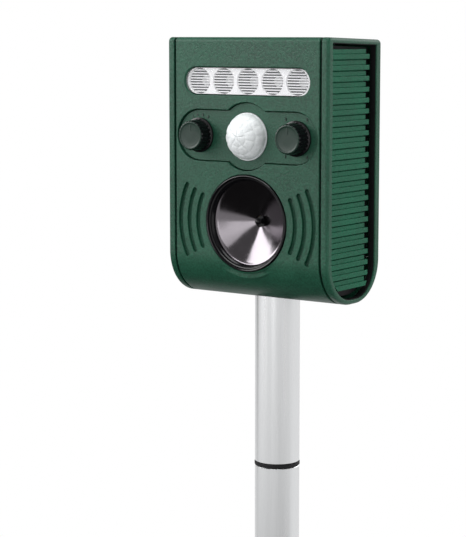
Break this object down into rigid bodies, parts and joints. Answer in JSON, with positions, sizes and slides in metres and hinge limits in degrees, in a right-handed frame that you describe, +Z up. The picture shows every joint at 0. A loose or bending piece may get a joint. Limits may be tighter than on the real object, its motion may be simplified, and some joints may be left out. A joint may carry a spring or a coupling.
{
  "type": "ultrasonic pest repeller",
  "caption": "Solar garden repeller: a boxy green head with a sounding horn, motion sensor, knobs and lamps that swivels on an aluminium pole with a ground spike.",
  "frame": {"origin": "ground level on the pole's axis, at the underside of the ground spike's collar", "axes": "+Z up along the pole, the head's front faces -Y, +X to the right of someone who faces the front"},
  "size_m": [0.106, 0.0646, 0.5089],
  "materials": {
    "case_green": "matte",
    "knob_green": "satin",
    "black_gloss": "gloss",
    "black_plastic": "matte",
    "black_rubber": "matte",
    "clear_plastic": "gloss",
    "pearl_plastic": "satin",
    "white_plastic": "gloss",
    "dark_mirror": "polished",
    "satin_aluminium": "satin",
    "steel": "satin",
    "brass": "satin",
    "board_green": "satin",
    "solar_blue": "gloss",
    "cell_sleeve": "satin"
  },
  "bodies": {
    "stake": {"lower_tube": "satin_aluminium", "tube_joiner": "black_plastic", "upper_tube": "satin_aluminium", "ground_spike": "black_plastic"},
    "head": {"front_shell": "case_green", "left_side_frame": "case_green", "right_side_frame": "case_green", "left_louvre_panel": "case_green", "right_louvre_panel": "case_green", "rear_cover": "case_green", "horn_bezel": "black_gloss", "horn_plug": "black_gloss", "battery_tray": "black_plastic", "solar_panel_frame": "black_plastic", "sensitivity_control": "black_plastic", "frequency_control": "black_plastic", "horn_driver": "black_plastic", "controller_chip": "black_plastic", "step_up_coil": "black_plastic", "reservoir_capacitor": "black_plastic", "power_switch": "black_plastic", "left_side_seal": "black_rubber", "right_side_seal": "black_rubber", "horn_gasket": "black_rubber", "socket_liner": "black_rubber", "solar_cover": "clear_plastic", "light_lens": "clear_plastic", "light_led_1": "clear_plastic", "light_led_2": "clear_plastic", "light_led_3": "clear_plastic", "light_led_4": "clear_plastic", "light_led_5": "clear_plastic", "motion_lens": "pearl_plastic", "light_reflector": "white_plastic", "horn_cone": "dark_mirror", "battery_contact_left": "steel", "battery_contact_right": "steel", "motion_sensor": "steel", "board_screw_left": "steel", "board_screw_right": "steel", "usb_socket": "steel", "cover_screw_lower_left": "steel", "cover_screw_upper_left": "steel", "cover_screw_lower_right": "steel", "cover_screw_upper_right": "steel", "piezo_disc": "brass", "main_board": "board_green", "solar_cells": "solar_blue", "battery_1": "cell_sleeve", "battery_2": "cell_sleeve", "battery_3": "cell_sleeve"},
    "sensitivity_knob_body": {"sensitivity_knob": "knob_green", "sensitivity_shaft": "white_plastic"},
    "frequency_knob_body": {"frequency_knob": "knob_green", "frequency_shaft": "white_plastic"},
    "battery_door_body": {"battery_door": "case_green", "battery_door_screw": "steel"},
    "power_button_body": {"power_button": "black_rubber"},
    "usb_flap_body": {"usb_flap": "black_rubber"}
  },
  "joints": [
    {"name": "head_swivel", "type": "hinge", "parent": "stake", "child": "head", "pos_m": [0, 0, 0.2047], "axis": [0, 0, 1], "continuous": true},
    {"name": "sensitivity_turn", "type": "hinge", "parent": "head", "child": "sensitivity_knob_body", "pos_m": [-0.032, -0.0315, 0.2953], "axis": [0, 1, 0], "range_deg": [-135, 135]},
    {"name": "frequency_turn", "type": "hinge", "parent": "head", "child": "frequency_knob_body", "pos_m": [0.032, -0.0315, 0.2953], "axis": [0, 1, 0], "range_deg": [-135, 135]},
    {"name": "battery_door_hinge", "type": "hinge", "parent": "head", "child": "battery_door_body", "pos_m": [0, 0.0214, 0.2502], "axis": [-1, 0, 0], "range_deg": [0, 95]},
    {"name": "power_button_press", "type": "slide", "parent": "head", "child": "power_button_body", "axis": [0, -1, 0], "range_m": [0, 0.0015], "stiffness_N_per_m": 600, "springref_m": -0.001},
    {"name": "usb_flap_hinge", "type": "hinge", "parent": "head", "child": "usb_flap_body", "pos_m": [0.02, 0.0216, 0.2319], "axis": [-1, 0, 0], "range_deg": [0, 95]}
  ]
}
